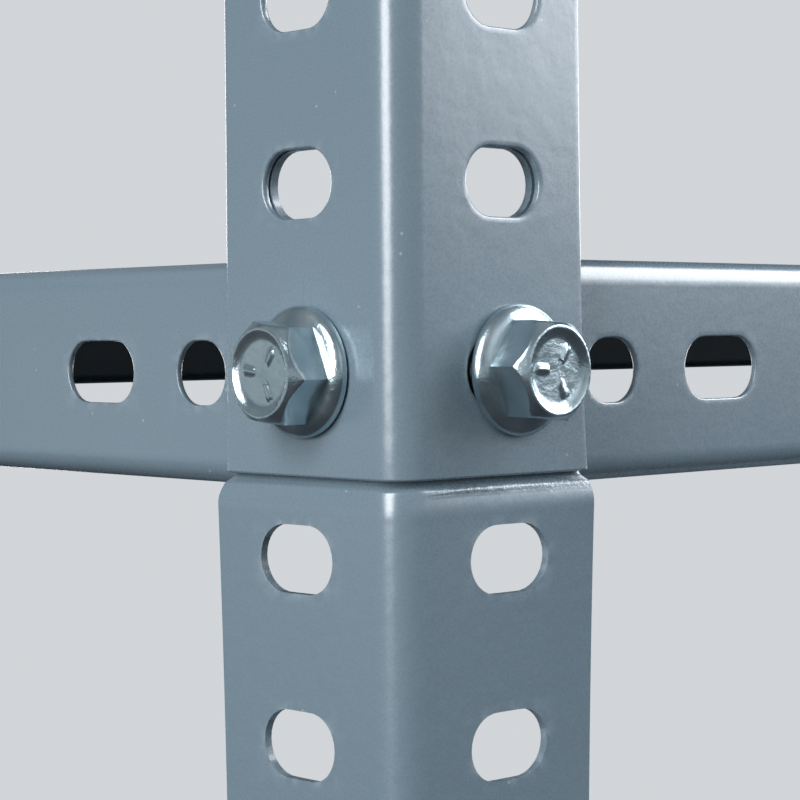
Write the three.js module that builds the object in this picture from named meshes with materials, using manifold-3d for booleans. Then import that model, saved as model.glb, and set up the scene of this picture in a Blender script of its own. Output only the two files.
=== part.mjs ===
// Free-standing steel shelving: slotted angle posts in two lengths, spliced at the middle level,
// with step beams bolted between them and a lift-out sheet deck on each level.
// Millimetres, +Z up. The origin is on the floor, under the middle of the unit; the front faces -Y.
import * as THREE from "three";
import { mergeVertices } from "three/addons/utils/BufferGeometryUtils.js";
import Module from "manifold-3d";

const wasm = await Module();
wasm.setup();

// The whole unit
const WIDTH = 1219.2; // over the posts, along X
const DEPTH = 609.6; // over the posts, along Y
const SLOT_PITCH = 25.4; // height from one post slot to the next
const POST_PITCHES = 72; // height of the posts, in slot pitches
const LEVEL_SLOTS = [2, 19, 36, 53, 70]; // the slot that each level's beams are bolted to
const SPLICE_LEVEL = 2; // the level, counted from 0, whose bolts also join the two post lengths
const FIT = 0.3; // gap between pieces that touch

// Posts: an equal angle, bent from sheet
const POST_FLANGE = 35;
const POST_SHEET = 1.2;
const POST_BEND = 5; // outside of the post's bend
const BOLT_LINE = 19.8; // middle of the slots, from the post's corner
const SLOT_LENGTH = 14;
const SLOT_HEIGHT = 9.4;
const SEAM_DROP = 13.8; // foot of the upper post, below the splice bolts
const JOGGLE_HEIGHT = 3.6; // length over which the lower post steps inwards
const TONGUE_RISE = 1.5 * SLOT_PITCH; // top of the lower post, above the splice bolts
const TONGUE_FLANGE = 34; // reach of the tongue's flanges, from the post's corner

// Beams: web, top flange, riser, ledge and bottom flange, bent from one sheet
const BEAM_HEIGHT = 31.75;
const BEAM_SHEET = 1;
const BEAM_BEND = 3; // outside of the beam's bends
const BEAM_DROP = 0.4; // middle of the beam, below the bolts that it hangs on
const BEAM_TOP = 7; // top flange, from the web's outer face
const BEAM_LEDGE = 20; // ledge's free edge, from the web's outer face
const BEAM_BOTTOM = 12;
const LEDGE_DROP = 9; // ledge's upper face, below the top of the beam
const BEAM_END = 8; // end of the web, from the post's corner
const BEAM_COPE = 31; // end of the flanges and ledge, from the post's corner
const BEAM_TAB = 24; // height of the web's end tab
const BEAM_SLOTS = [
  { middle: 45, length: 11.2 },
  { middle: 69.9, length: 17 },
];

// Decks: a shallow pan, open below, that stands on the ledges
const DECK_SHEET = 0.9;
const DECK_GAP = 0.6; // play between the deck and the riser at the splice level
const DECK_NOTCH = 31.5; // corner notch, from the post's corner
const RIB_HEIGHT = 7;
const RIB_CROWN = 30; // width of the rib's lower face
const RIB_LIP = 12; // each welding lip
const RIB_END = 6; // from the end of the rib to the inside of the deck's edge

// M8 hex flange bolts and plain nuts
const BOLT_SHANK_R = 3.9;
const BOLT_LENGTH = 16; // under the head
const BOLT_FLANGE_R = 8.95;
const BOLT_FLANGE_EDGE = 1.1;
const BOLT_CONE_R = 6.4; // where the flange's cone meets the hexagon
const BOLT_CONE_HEIGHT = 2.8;
const HEAD_HEIGHT = 8;
const HEX_FLATS = 13;
const FACE_R = 6.1; // the round face left by the chamfer
const CHAMFER_REACH = 2.4; // outwards from the face, past the hexagon's corners
const CHAMFER_DROP = 2;
const FLANGE_SIDES = 20; // facets round the flange
const SHANK_SIDES = 16;
const CHAMFER_SIDES = 12;
const NUT_HEIGHT = 6.5;
const NUT_BORE_R = 4.03;
const SIDE_BOLT = 18.1; // bolt from the post's corner, on the left and right faces
const FRONT_BOLT = 21.9; // the same, on the front and back faces

// Feet: a moulded shoe round the end of each post
const FOOT_FLOOR = 3;
const FOOT_HEIGHT = 10;
const FOOT_WALL = 1.8;

const POST_BASE = FOOT_FLOOR + FIT;
const POST_TOP = POST_BASE + POST_PITCHES * SLOT_PITCH;
const SPLICE_STEP = POST_SHEET + FIT; // the lower post's step inwards at the splice
const SPLICE_SLOT = LEVEL_SLOTS[SPLICE_LEVEL];
const SEAM = slotHeight(SPLICE_SLOT) - SEAM_DROP;
const DECK_HEIGHT = LEDGE_DROP - FIT;
const DECK_INSET = beamInset(SPLICE_LEVEL) + BEAM_TOP + DECK_GAP;
const CUT = 6; // reach of a cutter past the sheet

const coat = { color: 0x76858f, roughness: 0.5, metalness: 0.1 };
const zinc = { color: 0xb9c2c8, roughness: 0.32, metalness: 0.9 };
const plastic = { color: 0x1d1f21, roughness: 0.6, metalness: 0 };

// Each corner's angle opens towards the middle. Its own X axis runs along the side named with it.
const CORNERS = [
  { name: "front_left", x: -1, y: -1, turn: 0, side: "front", span: WIDTH },
  { name: "front_right", x: 1, y: -1, turn: Math.PI / 2, side: "right", span: DEPTH },
  { name: "back_right", x: 1, y: 1, turn: Math.PI, side: "back", span: WIDTH },
  { name: "back_left", x: -1, y: 1, turn: -Math.PI / 2, side: "left", span: DEPTH },
];

function slotHeight(slot) {
  return POST_BASE + (slot + 0.5) * SLOT_PITCH;
}

// Distance from the post's outer face to the beam's web: the tongue lies between them at the splice.
function beamInset(level) {
  return level === SPLICE_LEVEL ? 2 * SPLICE_STEP : SPLICE_STEP;
}

function solid(geometry) {
  const bare = geometry.clone();
  bare.deleteAttribute("normal");
  bare.deleteAttribute("uv");
  const merged = mergeVertices(bare, 1e-4);
  return new wasm.Manifold(
    new wasm.Mesh({
      numProp: 3,
      vertProperties: merged.getAttribute("position").array,
      triVerts: new Uint32Array(merged.index.array),
    }),
  );
}

function geometryOf(manifold) {
  const mesh = manifold.getMesh();
  const geometry = new THREE.BufferGeometry();
  geometry.setAttribute("position", new THREE.BufferAttribute(mesh.vertProperties, 3));
  geometry.setIndex(new THREE.BufferAttribute(mesh.triVerts, 1));
  const faceted = geometry.toNonIndexed();
  faceted.computeVertexNormals();
  return faceted;
}

// Each arc of the shape is drawn with two facets to every unit of fineness.
function extrude(shape, depth, fineness = 1, steps = 1) {
  const settings = { depth, steps, curveSegments: fineness, bevelEnabled: false };
  return new THREE.ExtrudeGeometry(shape, settings);
}

function polygon(points) {
  return new THREE.Shape(points.map(([x, y]) => new THREE.Vector2(x, y)));
}

// An extrusion of an upright outline, whose X stays along X and whose Y becomes Z, from y0 to y1.
function standing(shape, y0, y1) {
  const geometry = extrude(shape, y1 - y0, 2);
  return geometry.rotateX(Math.PI / 2).translate(0, y1, 0);
}

// A cutter for a round-ended slot through a face near y = 0.
function slotCutter(middle, length, height) {
  const end = SLOT_HEIGHT / 2;
  const straight = length / 2 - end;
  const shape = new THREE.Shape();
  shape.absarc(middle + straight, height, end, -Math.PI / 2, Math.PI / 2, false);
  shape.absarc(middle - straight, height, end, Math.PI / 2, (3 * Math.PI) / 2, false);
  return solid(standing(shape, -CUT, CUT));
}

// The same cutter for the angle's other flange, near x = 0.
function mirroredCutter(cutter) {
  return cutter.mirror([1, -1, 0]);
}

// Outline of an angle with its corner at the origin, as a sheet with a bend.
function angleShape(flange, sheet, radius, grow = 0) {
  const low = -grow;
  const high = sheet + grow;
  const tip = flange + grow;
  const outer = radius + grow;
  const inner = radius - sheet - grow;
  const shape = new THREE.Shape();
  shape.moveTo(tip, low);
  shape.lineTo(tip, high);
  if (inner > 0) {
    shape.absarc(radius, radius, inner, -Math.PI / 2, -Math.PI, true);
  } else {
    shape.lineTo(high, high);
  }
  shape.lineTo(high, tip);
  shape.lineTo(low, tip);
  shape.absarc(radius, radius, outer, Math.PI, (3 * Math.PI) / 2, false);
  return shape;
}

// Cuts the slots with the given numbers in both flanges of a post.
function slotted(post, slots) {
  return slots.reduce((left, slot) => {
    const cutter = slotCutter(BOLT_LINE, SLOT_LENGTH, slotHeight(slot));
    return left.subtract(cutter).subtract(mirroredCutter(cutter));
  }, post);
}

// Slots that the model shows on a post: the bolted ones, and the neighbours of the splice.
function shownSlots(lowest, highest) {
  const near = [SPLICE_SLOT - 1, SPLICE_SLOT, SPLICE_SLOT + 1];
  const slots = new Set([...LEVEL_SLOTS, ...near]);
  return [...slots].filter((slot) => slot >= lowest && slot <= highest);
}

// The lower post steps inwards under the seam and goes on as a tongue inside the upper post.
function lowerPost() {
  const tongueTop = slotHeight(SPLICE_SLOT) + TONGUE_RISE;
  const stations = [POST_BASE, SEAM - FIT - JOGGLE_HEIGHT, SEAM - FIT, tongueTop];
  const steps = stations.length - 1;
  const geometry = extrude(angleShape(POST_FLANGE, POST_SHEET, POST_BEND), steps, 1, steps);
  const position = geometry.getAttribute("position");
  for (let i = 0; i < position.count; i++) {
    const station = Math.round(position.getZ(i));
    if (station >= 2) {
      position.setX(i, Math.min(position.getX(i) + SPLICE_STEP, TONGUE_FLANGE));
      position.setY(i, Math.min(position.getY(i) + SPLICE_STEP, TONGUE_FLANGE));
    }
    position.setZ(i, stations[station]);
  }
  return slotted(solid(geometry), shownSlots(0, SPLICE_SLOT + 1));
}

function upperPost() {
  const geometry = extrude(angleShape(POST_FLANGE, POST_SHEET, POST_BEND), POST_TOP - SEAM);
  return slotted(solid(geometry.translate(0, 0, SEAM)), shownSlots(SPLICE_SLOT, POST_PITCHES));
}

// Section of the beam: u runs inwards from the web's outer face, v up from its middle.
function beamShape() {
  const half = BEAM_HEIGHT / 2;
  const sheet = BEAM_SHEET;
  const ledge = half - LEDGE_DROP;
  const inner = BEAM_BEND - sheet;
  const shape = new THREE.Shape();
  shape.moveTo(BEAM_BOTTOM, -half);
  shape.lineTo(BEAM_BOTTOM, -half + sheet);
  shape.absarc(BEAM_BEND, -half + BEAM_BEND, inner, -Math.PI / 2, -Math.PI, true);
  shape.absarc(BEAM_BEND, half - BEAM_BEND, inner, Math.PI, Math.PI / 2, true);
  shape.lineTo(BEAM_TOP - sheet, half - sheet);
  shape.lineTo(BEAM_TOP - sheet, ledge - sheet);
  shape.lineTo(BEAM_LEDGE, ledge - sheet);
  shape.lineTo(BEAM_LEDGE, ledge);
  shape.lineTo(BEAM_TOP, ledge);
  shape.lineTo(BEAM_TOP, half);
  shape.absarc(BEAM_BEND, half - BEAM_BEND, BEAM_BEND, Math.PI / 2, Math.PI, false);
  shape.absarc(BEAM_BEND, -half + BEAM_BEND, BEAM_BEND, Math.PI, (3 * Math.PI) / 2, false);
  return shape;
}

// A beam from the post's corner at x = 0 to the one at x = span, with its web on y = 0.
function beam(span) {
  const alongX = new THREE.Matrix4().makeBasis(
    new THREE.Vector3(0, 1, 0),
    new THREE.Vector3(0, 0, 1),
    new THREE.Vector3(1, 0, 0),
  );
  const body = extrude(beamShape(), span - 2 * BEAM_COPE);
  body.applyMatrix4(alongX).translate(BEAM_COPE, 0, 0);
  const tab = new THREE.BoxGeometry(span - 2 * BEAM_END, BEAM_SHEET, BEAM_TAB);
  tab.translate(span / 2, BEAM_SHEET / 2, 0);
  const slots = [{ middle: BOLT_LINE, length: SLOT_LENGTH }, ...BEAM_SLOTS];
  return slots.reduce(
    (left, { middle, length }) =>
      left.subtract(slotCutter(middle, length, 0)).subtract(slotCutter(span - middle, length, 0)),
    solid(body).add(solid(tab)),
  );
}

// Outline of a deck with a notch at each corner, moved inwards by a sheet's thickness for its inside.
function deckShape(inset) {
  const x = WIDTH / 2 - DECK_INSET - inset;
  const y = DEPTH / 2 - DECK_INSET - inset;
  const notch = DECK_NOTCH - DECK_INSET;
  const corner = [
    [x, y - notch],
    [x - notch, y - notch],
    [x - notch, y],
  ];
  return polygon([
    ...corner,
    ...corner.map(([a, b]) => [-a, b]).reverse(),
    ...corner.map(([a, b]) => [-a, -b]),
    ...corner.map(([a, b]) => [a, -b]).reverse(),
  ]);
}

// A deck with its upper face on z = 0.
function deck() {
  const outside = extrude(deckShape(0), DECK_HEIGHT).translate(0, 0, -DECK_HEIGHT);
  const inside = extrude(deckShape(DECK_SHEET), DECK_HEIGHT).translate(0, 0, -DECK_HEIGHT - DECK_SHEET);
  return solid(outside).subtract(solid(inside));
}

// A hat-section rib that hangs under the middle of a deck, with its lips just under z = 0.
function deckRib() {
  const half = RIB_CROWN / 2;
  const section = polygon([
    [half + RIB_LIP, 0],
    [half - DECK_SHEET, 0],
    [half - DECK_SHEET, DECK_SHEET - RIB_HEIGHT],
    [DECK_SHEET - half, DECK_SHEET - RIB_HEIGHT],
    [DECK_SHEET - half, 0],
    [-half - RIB_LIP, 0],
    [-half - RIB_LIP, -DECK_SHEET],
    [-half, -DECK_SHEET],
    [-half, -RIB_HEIGHT],
    [half, -RIB_HEIGHT],
    [half, -DECK_SHEET],
    [half + RIB_LIP, -DECK_SHEET],
  ]);
  const reach = WIDTH / 2 - DECK_INSET - DECK_SHEET - RIB_END;
  return solid(standing(section, -reach, reach).rotateZ(Math.PI / 2));
}

function hexagon() {
  const corner = HEX_FLATS / Math.sqrt(3);
  const turns = [0, 1, 2, 3, 4, 5].map((i) => (i * Math.PI) / 3);
  return polygon(turns.map((turn) => [corner * Math.cos(turn), corner * Math.sin(turn)]));
}

// A solid of revolution about Z from a profile of [radius, height] points.
function turned(profile, sides) {
  const points = profile.map(([r, z]) => new THREE.Vector2(r, z));
  return solid(new THREE.LatheGeometry(points, sides).rotateX(Math.PI / 2));
}

// A bolt with the underside of its flange on z = 0 and its head towards +Z.
function bolt() {
  const flange = turned(
    [
      [0, 0],
      [BOLT_FLANGE_R, 0],
      [BOLT_FLANGE_R, BOLT_FLANGE_EDGE],
      [BOLT_CONE_R, BOLT_CONE_HEIGHT],
      [0, BOLT_CONE_HEIGHT],
    ],
    FLANGE_SIDES,
  );
  const shank = turned(
    [
      [0, -BOLT_LENGTH],
      [BOLT_SHANK_R, -BOLT_LENGTH],
      [BOLT_SHANK_R, BOLT_FLANGE_EDGE],
      [0, BOLT_FLANGE_EDGE],
    ],
    SHANK_SIDES,
  );
  const chamfer = turned(
    [
      [0, 0],
      [FACE_R + CHAMFER_REACH, 0],
      [FACE_R + CHAMFER_REACH, HEAD_HEIGHT - CHAMFER_DROP],
      [FACE_R, HEAD_HEIGHT],
      [0, HEAD_HEIGHT],
    ],
    CHAMFER_SIDES,
  );
  const head = solid(extrude(hexagon(), HEAD_HEIGHT)).intersect(chamfer);
  return head.add(flange).add(shank);
}

// A nut from z = 0 to z = -NUT_HEIGHT, bored to clear the shank.
function nut() {
  const shape = hexagon();
  const bore = new THREE.Path();
  bore.absarc(0, 0, NUT_BORE_R, 0, 2 * Math.PI, true);
  shape.holes.push(bore);
  return solid(extrude(shape, NUT_HEIGHT, 8).translate(0, 0, -NUT_HEIGHT));
}

// A shoe that wraps both faces of a post's end, with a floor under it.
function foot() {
  const shell = extrude(angleShape(POST_FLANGE, POST_SHEET, POST_BEND, FIT + FOOT_WALL), FOOT_HEIGHT);
  const pocket = extrude(angleShape(POST_FLANGE, POST_SHEET, POST_BEND, FIT), FOOT_HEIGHT);
  return solid(shell).subtract(solid(pocket.translate(0, 0, FOOT_FLOOR)));
}

const unit = new THREE.Group();

function place(parent, name, geometry, finish) {
  const mesh = new THREE.Mesh(geometry, new THREE.MeshStandardMaterial(finish));
  mesh.name = name;
  parent.add(mesh);
  return mesh;
}

// The head stands outside the face y = 0 of a corner's frame, and the shank points inwards.
function placeFastener(parent, name, geometry, along, depth, height) {
  const mesh = place(parent, name, geometry, zinc);
  mesh.rotation.x = Math.PI / 2;
  mesh.position.set(along, depth, height);
}

const lowerPostGeometry = geometryOf(lowerPost());
const upperPostGeometry = geometryOf(upperPost());
const footGeometry = geometryOf(foot());
const boltGeometry = geometryOf(bolt());
const nutGeometry = geometryOf(nut());
const deckGeometry = geometryOf(deck());
const ribGeometry = geometryOf(deckRib());
const beamGeometry = { [WIDTH]: geometryOf(beam(WIDTH)), [DEPTH]: geometryOf(beam(DEPTH)) };

for (const { name, x, y, turn, side, span } of CORNERS) {
  const corner = new THREE.Group();
  corner.position.set((x * WIDTH) / 2, (y * DEPTH) / 2, 0);
  corner.rotation.z = turn;
  unit.add(corner);

  place(corner, "lower_post_" + name, lowerPostGeometry, coat);
  place(corner, "upper_post_" + name, upperPostGeometry, coat);
  place(corner, "foot_" + name, footGeometry, plastic);

  LEVEL_SLOTS.forEach((slot, level) => {
    const bar = place(corner, "beam_" + side + "_" + (level + 1), beamGeometry[span], coat);
    bar.position.set(0, beamInset(level), slotHeight(slot) - BEAM_DROP);
  });

  // Each side's two splice bolts, at its near and far corners.
  const fromCorner = span === WIDTH ? FRONT_BOLT : SIDE_BOLT;
  const nutDepth = beamInset(SPLICE_LEVEL) + BEAM_SHEET + FIT;
  const height = slotHeight(SPLICE_SLOT);
  [
    ["a", fromCorner],
    ["b", span - fromCorner],
  ].forEach(([end, along]) => {
    placeFastener(corner, "bolt_" + side + "_" + end, boltGeometry, along, -FIT, height);
    placeFastener(corner, "nut_" + side + "_" + end, nutGeometry, along, nutDepth, height);
  });
}

LEVEL_SLOTS.forEach((slot, level) => {
  const sheet = place(unit, "deck_" + (level + 1), deckGeometry, coat);
  sheet.position.z = slotHeight(slot) - BEAM_DROP + BEAM_HEIGHT / 2;
  const rib = place(unit, "deck_rib_" + (level + 1), ribGeometry, coat);
  rib.position.z = sheet.position.z - DECK_SHEET - FIT;
});

export default unit;
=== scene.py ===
"""Looks for a spliced, slotted-angle shelving unit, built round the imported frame."""
import math
import random

import bmesh
import bpy
from mathutils import Matrix, Vector
from mathutils.noise import noise as noise_at


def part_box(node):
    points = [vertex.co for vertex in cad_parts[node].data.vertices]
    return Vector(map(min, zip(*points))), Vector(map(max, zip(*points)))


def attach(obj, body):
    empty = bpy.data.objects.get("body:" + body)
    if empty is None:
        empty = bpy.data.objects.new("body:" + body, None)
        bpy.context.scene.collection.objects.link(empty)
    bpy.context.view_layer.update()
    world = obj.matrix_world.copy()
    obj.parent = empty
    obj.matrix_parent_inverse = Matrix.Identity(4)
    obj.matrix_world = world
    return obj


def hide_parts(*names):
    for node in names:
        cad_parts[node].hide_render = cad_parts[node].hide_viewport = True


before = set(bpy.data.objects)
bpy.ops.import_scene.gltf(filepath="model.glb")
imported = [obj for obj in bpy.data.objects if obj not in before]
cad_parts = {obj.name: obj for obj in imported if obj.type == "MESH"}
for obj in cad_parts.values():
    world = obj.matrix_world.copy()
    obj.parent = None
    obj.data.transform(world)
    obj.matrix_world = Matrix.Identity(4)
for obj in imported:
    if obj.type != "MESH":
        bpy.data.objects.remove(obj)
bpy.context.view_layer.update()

MM = 0.001

# Sizes that the frame gives
POST_NAMES = ("front_left", "front_right", "back_right", "back_left")
SIDE_NAMES = ("front", "right", "back", "left")
LEVELS = 5
SPLICE_LEVEL = 3
UPPER = {name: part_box("upper_post_" + name) for name in POST_NAMES}
LOWER = {name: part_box("lower_post_" + name) for name in POST_NAMES}
WEST = UPPER["front_left"][0].x
SOUTH = UPPER["front_left"][0].y
WIDTH = -2 * WEST
DEPTH = -2 * SOUTH
FLANGE = UPPER["front_left"][1].x - WEST
POST_BASE = LOWER["front_left"][0].z
POST_TOP = UPPER["front_left"][1].z
SEAM = UPPER["front_left"][0].z
TONGUE_TOP = LOWER["front_left"][1].z
SPLICE_BOLT = sum(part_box("bolt_front_a"), Vector()) / 2
SPLICE_Z = SPLICE_BOLT.z
FRONT_BOLT = SPLICE_BOLT.x - WEST
SIDE_BOLT = (sum(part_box("bolt_left_b"), Vector()) / 2).y - SOUTH
BOLT_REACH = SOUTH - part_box("bolt_front_a")[0].y
NUT_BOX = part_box("nut_front_a")
NUT_HEIGHT = NUT_BOX[1].y - NUT_BOX[0].y
BEAM_LOW, BEAM_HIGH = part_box("beam_front_%d" % SPLICE_LEVEL)
BEAM_HEIGHT = BEAM_HIGH.z - BEAM_LOW.z
BEAM_DEPTH = BEAM_HIGH.y - BEAM_LOW.y
BEAM_END = BEAM_LOW.x - WEST

# Sizes of the sheet work
PITCH = 25.4 * MM
POST_SHEET = 1.2 * MM
POST_BEND = 5 * MM
BEAM_BEND = 3 * MM
BOLT_LINE = 19.8 * MM
SLOT_HALF = 7 * MM
SLOT_END = 4.7 * MM
SLOT_BORDER = 0.9 * MM
SLOT_SIDE = 2 * MM
SLOT_RISE = 6.2 * MM
SHORT = 0.1 * MM
STEEP_JOGGLE = 1.2 * MM
SOFT_JOGGLE = 4.2 * MM
STEEP_SHARE = 0.72
LIP_DROP = 0.4 * MM
SEAM_GAP = 0.3 * MM
FIT = 0.3 * MM
STEP = POST_SHEET + FIT
BEAM_SHEET = 1 * MM
BEAM_TOP = 7 * MM
BEAM_BOTTOM = 12 * MM
LEDGE_DROP = 9 * MM
BEAM_COPE = 31 * MM
BEAM_TAB = 12 * MM
BEAM_SLOTS = ((BOLT_LINE, SLOT_HALF), (45 * MM, 5.6 * MM), (69.9 * MM, 8.5 * MM))
POST_EDGE = 0.35 * MM
BEAM_EDGE = 0.25 * MM
DECK_EDGE = 0.2 * MM
RIB_EDGE = 0.15 * MM
DECK_SHEET = 0.9 * MM
DECK_NOTCH = 20.9 * MM
DECK_BEND = 1.6 * MM
RIB_CROWN = 15 * MM
RIB_BENDS = (1.2 * MM, 1.8 * MM, 1.8 * MM, 1.2 * MM)
FOOT_WALL = 2.1 * MM
FOOT_LIP = 1.8 * MM
FOOT_SOLE = 3 * MM


# ---------------------------------------------------------------- node helpers

def new_material(name):
    material = bpy.data.materials.new(name)
    material.use_nodes = True
    nodes = material.node_tree.nodes
    shader = nodes["Principled BSDF"]
    return material, nodes, material.node_tree.links, shader


def noise(nodes, links, coords, scale, detail=2.0, rough=0.5):
    node = nodes.new("ShaderNodeTexNoise")
    node.inputs["Scale"].default_value = scale
    node.inputs["Detail"].default_value = detail
    node.inputs["Roughness"].default_value = rough
    links.new(coords, node.inputs["Vector"])
    return node.outputs["Fac"]


def ramp(nodes, links, value, stops):
    node = nodes.new("ShaderNodeValToRGB")
    elements = node.color_ramp.elements
    while len(elements) < len(stops):
        elements.new(0.5)
    for element, (position, colour) in zip(elements, stops):
        element.position = position
        element.color = (*colour, 1.0)
    links.new(value, node.inputs["Fac"])
    return node.outputs["Color"]


def mapped(nodes, links, value, low, high, out_low, out_high):
    node = nodes.new("ShaderNodeMapRange")
    node.inputs["From Min"].default_value = low
    node.inputs["From Max"].default_value = high
    node.inputs["To Min"].default_value = out_low
    node.inputs["To Max"].default_value = out_high
    links.new(value, node.inputs["Value"])
    return node.outputs["Result"]


def mixed(nodes, links, factor, first, second, blend="MIX"):
    node = nodes.new("ShaderNodeMix")
    node.data_type = "RGBA"
    node.blend_type = blend
    for socket, value in (("Factor", factor), ("A", first), ("B", second)):
        target = next(s for s in node.inputs if s.name == socket and s.enabled)
        if isinstance(value, bpy.types.NodeSocket):
            links.new(value, target)
        elif socket == "Factor":
            target.default_value = value
        else:
            target.default_value = (*value, 1.0)
    return next(s for s in node.outputs if s.enabled)


def product(nodes, links, first, second):
    node = nodes.new("ShaderNodeMath")
    node.operation = "MULTIPLY"
    links.new(first, node.inputs[0])
    links.new(second, node.inputs[1])
    return node.outputs["Value"]


def bump(nodes, links, height, distance, strength=1.0, normal=None):
    node = nodes.new("ShaderNodeBump")
    node.inputs["Distance"].default_value = distance
    node.inputs["Strength"].default_value = strength
    links.new(height, node.inputs["Height"])
    if normal is not None:
        links.new(normal, node.inputs["Normal"])
    return node.outputs["Normal"]


def object_coords(nodes):
    return nodes.new("ShaderNodeTexCoord").outputs["Object"]


# ---------------------------------------------------------------- materials

def painted_inward_shade(nodes, links, coords):
    """Share of painted shade, near black, on sheet that faces the middle of the unit, standing in
    for the shadow inside it.
    """
    level = nodes.new("ShaderNodeVectorMath")
    level.operation = "MULTIPLY"
    level.inputs[1].default_value = (1 / WIDTH, 1 / DEPTH, 0)
    links.new(coords, level.inputs[0])
    outwards = nodes.new("ShaderNodeVectorMath")
    outwards.operation = "DOT_PRODUCT"
    links.new(level.outputs["Vector"], outwards.inputs[0])
    links.new(nodes.new("ShaderNodeNewGeometry").outputs["True Normal"], outwards.inputs[1])
    return mapped(nodes, links, outwards.outputs["Value"], -0.30, -0.44, 0.0, 0.9)


def powder_coat(name, rough_low, rough_high, coat):
    """Blue-grey paint with clouds, specks of dust, painted highlight on the slot rims in patches
    that look like wear, orange peel and the bead.
    """
    material, nodes, links, shader = new_material(name)
    coords = object_coords(nodes)
    clouds = noise(nodes, links, coords, 9.0, 3.0)
    base = ramp(nodes, links, clouds, ((0.3, (0.134, 0.186, 0.222)), (0.7, (0.152, 0.208, 0.246))))
    grain = noise(nodes, links, coords, 2600.0, 2.0)
    flecks = mapped(nodes, links, grain, 0.35, 0.65, 0.0, 0.10)
    base = mixed(nodes, links, flecks, base, (0.22, 0.28, 0.32))

    dust = nodes.new("ShaderNodeTexVoronoi")
    dust.feature = "F1"
    dust.inputs["Scale"].default_value = 190.0
    links.new(coords, dust.inputs["Vector"])
    speck = mapped(nodes, links, dust.outputs["Distance"], 0.045, 0.02, 0.0, 0.55)
    base = mixed(nodes, links, speck, base, (0.55, 0.58, 0.60))

    # painted highlight: the slot rims are lightened in patches, standing in for light caught on
    # their rounded edges
    rim = nodes.new("ShaderNodeAttribute")
    rim.attribute_name = "paint_edge"
    patches = noise(nodes, links, coords, 420.0, 3.0)
    rim_patches = mapped(nodes, links, patches, 0.45, 0.62, 0.0, 1.0)
    rim_highlight = product(nodes, links, rim.outputs["Fac"], rim_patches)
    rim_highlight = mapped(nodes, links, rim_highlight, 0.0, 1.0, 0.0, 0.35)
    base = mixed(nodes, links, rim_highlight, base, (0.36, 0.42, 0.46))
    # painted shade: sheet that faces the middle of the unit is darkened to near black, as if in
    # shadow
    inner = painted_inward_shade(nodes, links, coords)
    base = mixed(nodes, links, inner, base, (0.030, 0.040, 0.048))
    links.new(base, shader.inputs["Base Color"])

    peel = noise(nodes, links, coords, 520.0, 1.5, 0.45)
    swell = noise(nodes, links, coords, 130.0, 1.0)
    normal = bump(nodes, links, swell, 0.00010, 0.6)
    normal = bump(nodes, links, peel, 0.00006, 0.8, normal)
    bead = nodes.new("ShaderNodeAttribute")
    bead.attribute_name = "paint_bead"
    lumps = noise(nodes, links, coords, 1500.0, 1.0)
    lumps = product(nodes, links, lumps, bead.outputs["Fac"])
    normal = bump(nodes, links, lumps, 0.0005, 1.0, normal)
    links.new(normal, shader.inputs["Normal"])
    sheen = mapped(nodes, links, grain, 0.3, 0.7, rough_low, rough_high)
    links.new(sheen, shader.inputs["Roughness"])
    shader.inputs["IOR"].default_value = 1.5
    shader.inputs["Coat Weight"].default_value = coat
    shader.inputs["Coat Roughness"].default_value = 0.24
    return material


def zinc_plate():
    """Bright plate over a forged skin."""
    material, nodes, links, shader = new_material("bluish_zinc_plate")
    coords = object_coords(nodes)
    clouds = noise(nodes, links, coords, 260.0, 4.0)
    base = ramp(nodes, links, clouds, ((0.3, (0.42, 0.54, 0.58)), (0.7, (0.60, 0.70, 0.74))))
    links.new(base, shader.inputs["Base Color"])
    forge = noise(nodes, links, coords, 900.0, 4.0, 0.6)
    crystal = noise(nodes, links, coords, 5200.0, 2.0)
    normal = bump(nodes, links, forge, 0.00008, 0.8)
    links.new(bump(nodes, links, crystal, 0.00003, 0.5, normal), shader.inputs["Normal"])
    links.new(mapped(nodes, links, clouds, 0.3, 0.7, 0.15, 0.27), shader.inputs["Roughness"])
    shader.inputs["Metallic"].default_value = 0.95
    return material


def foot_plastic():
    material, nodes, links, shader = new_material("black_moulded_plastic")
    coords = object_coords(nodes)
    clouds = noise(nodes, links, coords, 60.0)
    base = ramp(nodes, links, clouds, ((0.3, (0.018, 0.019, 0.02)), (0.7, (0.03, 0.031, 0.033))))
    links.new(base, shader.inputs["Base Color"])
    texture = noise(nodes, links, coords, 1500.0, 2.0)
    links.new(bump(nodes, links, texture, 0.00003, 0.7), shader.inputs["Normal"])
    scuffs = noise(nodes, links, coords, 200.0)
    links.new(mapped(nodes, links, scuffs, 0.3, 0.7, 0.45, 0.6), shader.inputs["Roughness"])
    return material


COAT = powder_coat("blue_grey_powder_coat", 0.24, 0.32, 0.8)
FLAT_COAT = powder_coat("blue_grey_flat_coat", 0.58, 0.68, 0.0)
ZINC = zinc_plate()
PLASTIC = foot_plastic()


# ---------------------------------------------------------------- mesh helpers

def object_from(name, mesh, material):
    mesh.materials.clear()
    mesh.materials.append(material)
    piece = bpy.data.objects.new(name, mesh)
    bpy.context.scene.collection.objects.link(piece)
    return piece


def plain_mesh(piece):
    """The piece's evaluated shape as a mesh of its own."""
    bpy.context.view_layer.update()
    graph = bpy.context.evaluated_depsgraph_get()
    return bpy.data.meshes.new_from_object(piece.evaluated_get(graph))


def finish_piece(piece, body, nodes):
    """Sets the piece under its body and hides the CAD nodes that it stands for."""
    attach(piece, body)
    if nodes:
        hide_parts(*nodes)


def spread(low, high, count):
    return [low + (high - low) * i / count for i in range(count + 1)]


def side_matrix(side):
    """From a side's own frame, X along it, Y inwards and Z up, to the unit's."""
    turn = SIDE_NAMES.index(side) * math.pi / 2
    start = POST_NAMES[SIDE_NAMES.index(side)]
    corner = Vector((WEST if "left" in start else -WEST, SOUTH if "front" in start else -SOUTH, 0))
    return Matrix.Translation(corner) @ Matrix.Rotation(turn, 4, "Z")


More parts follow.
